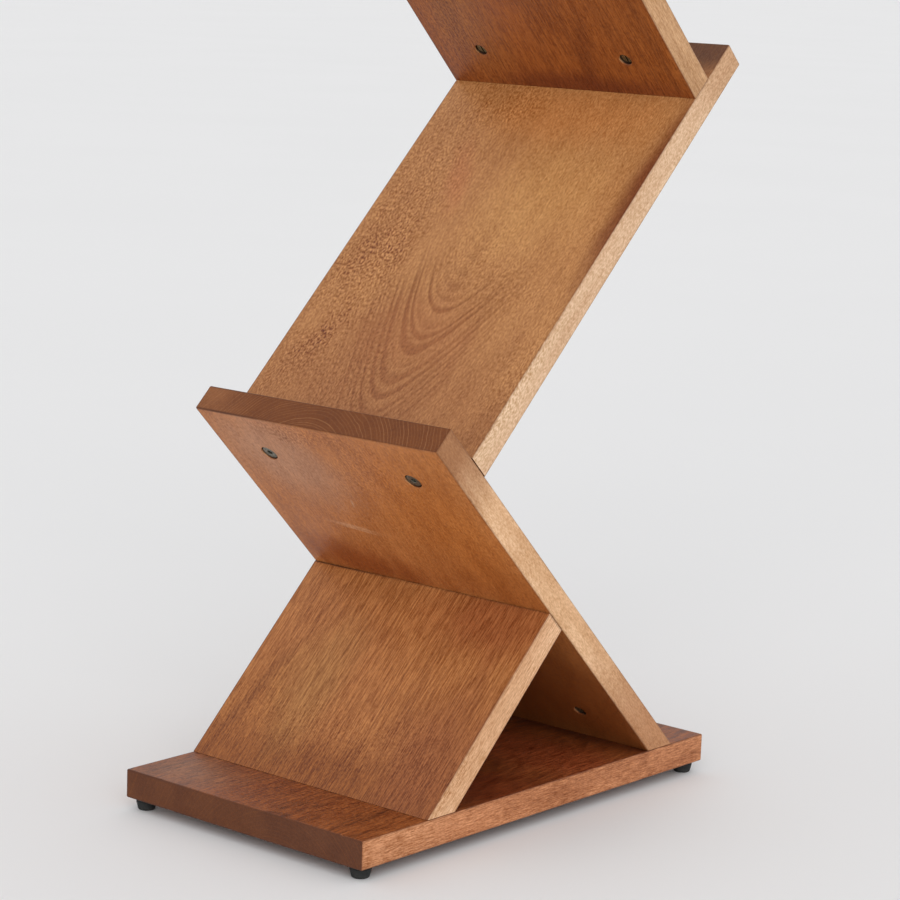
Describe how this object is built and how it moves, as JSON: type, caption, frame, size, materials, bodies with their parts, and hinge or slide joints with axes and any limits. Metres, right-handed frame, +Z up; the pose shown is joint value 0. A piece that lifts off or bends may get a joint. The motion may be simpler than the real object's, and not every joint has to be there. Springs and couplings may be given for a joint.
{
  "type": "newspaper rack",
  "caption": "Free-standing zig-zag newspaper rack of flat leaning boards bolted at right angles, with a lip under each pocket and small rubber feet.",
  "frame": {"origin": "on the floor, under the middle of the whole rack's bounding box", "axes": "+X to the rack's right, +Y to its rear, +Z up; the front lip and the front pockets face -Y"},
  "size_m": [0.24, 0.4088, 1.111],
  "materials": {
    "stained_beech": "satin lacquer over brown stain",
    "bolt_steel": "dull plated",
    "nut_brass": "dull yellow passivated",
    "zinc_steel": "bright zinc",
    "rubber": "matte black"
  },
  "bodies": {
    "root": {"base_board": "stained_beech", "strut_board": "stained_beech", "lower_board": "stained_beech", "middle_board": "stained_beech", "upper_board": "stained_beech", "top_board": "stained_beech", "bolt_base_strut_left": "bolt_steel", "bolt_base_strut_right": "bolt_steel", "bolt_base_lower_left": "bolt_steel", "bolt_base_lower_right": "bolt_steel", "bolt_strut_lower_left": "bolt_steel", "bolt_strut_lower_right": "bolt_steel", "bolt_lower_middle_left": "bolt_steel", "bolt_lower_middle_right": "bolt_steel", "bolt_middle_upper_left": "bolt_steel", "bolt_middle_upper_right": "bolt_steel", "bolt_upper_top_left": "bolt_steel", "bolt_upper_top_right": "bolt_steel", "barrel_nut_base_strut_left": "nut_brass", "barrel_nut_base_strut_right": "nut_brass", "barrel_nut_base_lower_left": "nut_brass", "barrel_nut_base_lower_right": "nut_brass", "barrel_nut_strut_lower_left": "nut_brass", "barrel_nut_strut_lower_right": "nut_brass", "barrel_nut_lower_middle_left": "nut_brass", "barrel_nut_lower_middle_right": "nut_brass", "barrel_nut_middle_upper_left": "nut_brass", "barrel_nut_middle_upper_right": "nut_brass", "barrel_nut_upper_top_left": "nut_brass", "barrel_nut_upper_top_right": "nut_brass", "foot_front_left": "rubber", "foot_front_right": "rubber", "foot_rear_left": "rubber", "foot_rear_right": "rubber", "foot_washer_front_left": "zinc_steel", "foot_washer_front_right": "zinc_steel", "foot_washer_rear_left": "zinc_steel", "foot_washer_rear_right": "zinc_steel", "foot_screw_front_left": "zinc_steel", "foot_screw_front_right": "zinc_steel", "foot_screw_rear_left": "zinc_steel", "foot_screw_rear_right": "zinc_steel"}
  },
  "joints": []
}
